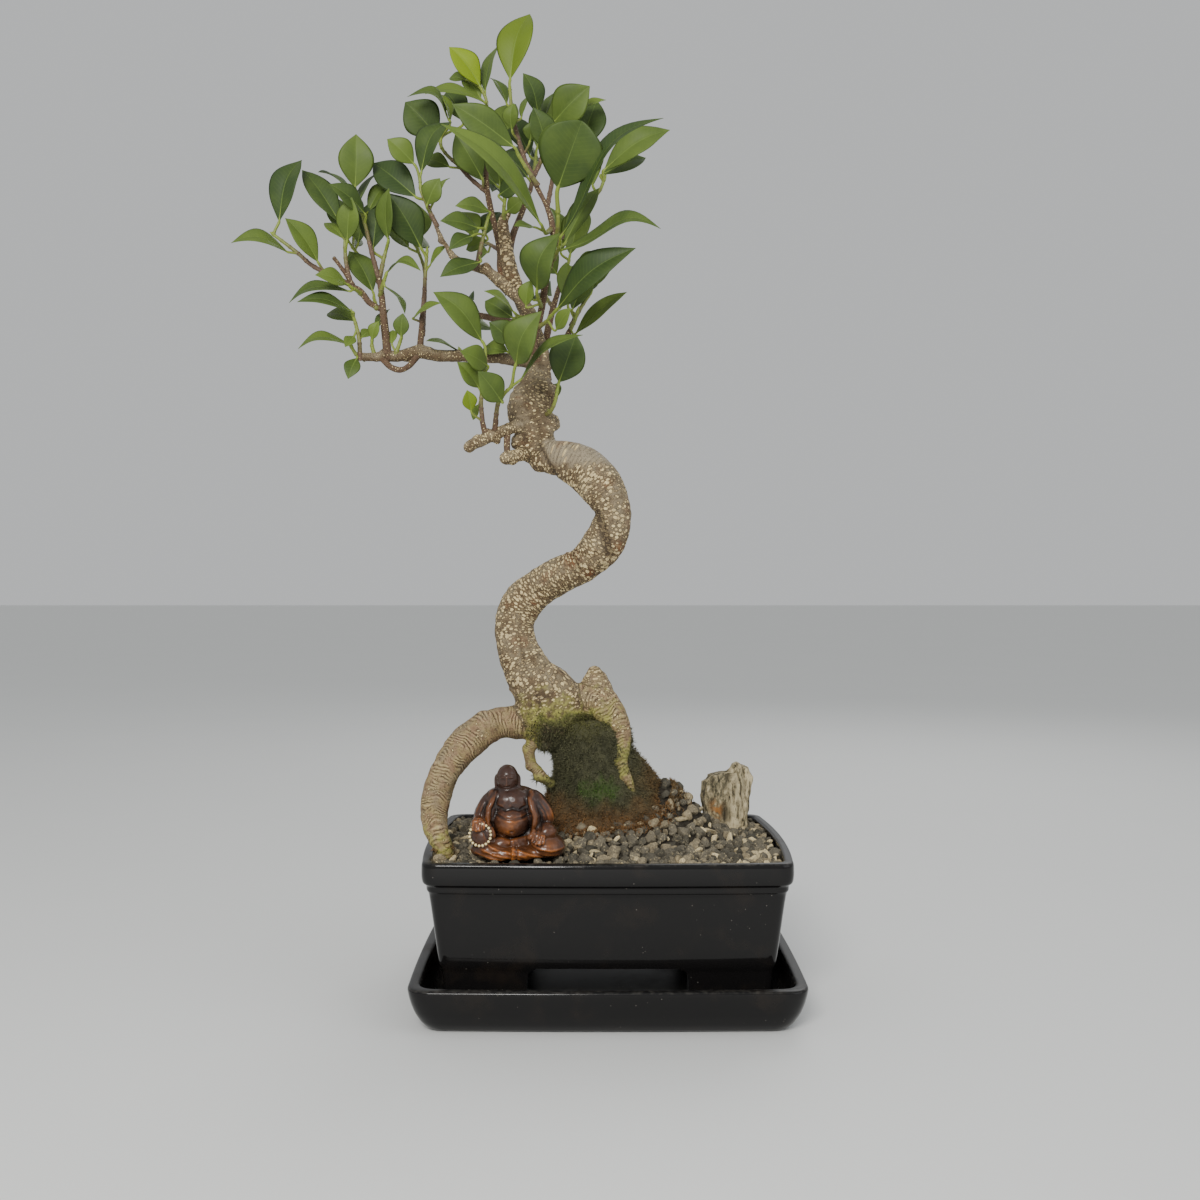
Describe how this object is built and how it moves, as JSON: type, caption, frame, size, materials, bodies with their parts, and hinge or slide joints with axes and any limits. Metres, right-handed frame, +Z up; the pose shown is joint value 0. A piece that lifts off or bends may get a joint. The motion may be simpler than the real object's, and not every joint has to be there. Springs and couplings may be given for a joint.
{
  "type": "potted bonsai fig tree",
  "caption": "Small-leaved fig bonsai with a curved trunk and arching aerial roots, in a black glazed pot on its drip tray, with a stone and a seated figurine.",
  "frame": {"origin": "middle of the drip tray's flat underside, on the surface that it stands on", "axes": "+Z up, +X to the right and -Y to the front, as the pot is seen from its long front side"},
  "size_m": [0.4043, 0.24, 0.7224],
  "materials": {
    "glaze": "black gloss glaze",
    "soil": "dark loose potting mix",
    "gravel": "grey-brown baked clay granules with cream and tan bits",
    "moss": "dense dark moss over roots",
    "stone": "rough striated natural stone",
    "resin": "polished amber-brown cast resin",
    "bark": "grey-brown bark with pale raised pores",
    "leaf": "thick waxy leaf, satin gloss, paler below"
  },
  "bodies": {
    "root": {"drip_tray": "glaze", "pot": "glaze", "soil": "soil", "gravel_bed": "gravel", "moss_mound": "moss", "stone": "stone", "figurine": "resin", "wood": "bark", "shoot_left_tip": "leaf", "shoot_left_upper": "leaf", "shoot_left_crown": "leaf", "shoot_left_inner": "leaf", "shoot_left_spur": "leaf", "shoot_left_behind": "leaf", "shoot_left_fork": "leaf", "shoot_left_under": "leaf", "shoot_branch_end": "leaf", "shoot_branch_small": "leaf", "shoot_branch_bud": "leaf", "shoot_branch_middle": "leaf", "shoot_middle": "leaf", "shoot_mid_left": "leaf", "shoot_high_left": "leaf", "shoot_high": "leaf", "shoot_top": "leaf", "shoot_top_right": "leaf", "shoot_behind_broad": "leaf", "shoot_front_left": "leaf", "shoot_front_long": "leaf", "shoot_centre_left": "leaf", "shoot_centre_top": "leaf", "shoot_right_broad": "leaf", "shoot_right_arch": "leaf", "shoot_right_outer": "leaf", "shoot_right_low": "leaf", "shoot_right_side": "leaf", "shoot_front_centre": "leaf", "shoot_right_under": "leaf", "shoot_low_right": "leaf", "shoot_low_left": "leaf", "shoot_trunk_left": "leaf", "shoot_trunk_inner": "leaf", "shoot_back_right": "leaf", "shoot_back_mid": "leaf", "shoot_back_left": "leaf", "shoot_back_low": "leaf", "shoot_back_top": "leaf", "shoot_back_crown": "leaf", "shoot_inner_left": "leaf", "shoot_inner_far_left": "leaf", "shoot_inner_right": "leaf"}
  },
  "joints": []
}
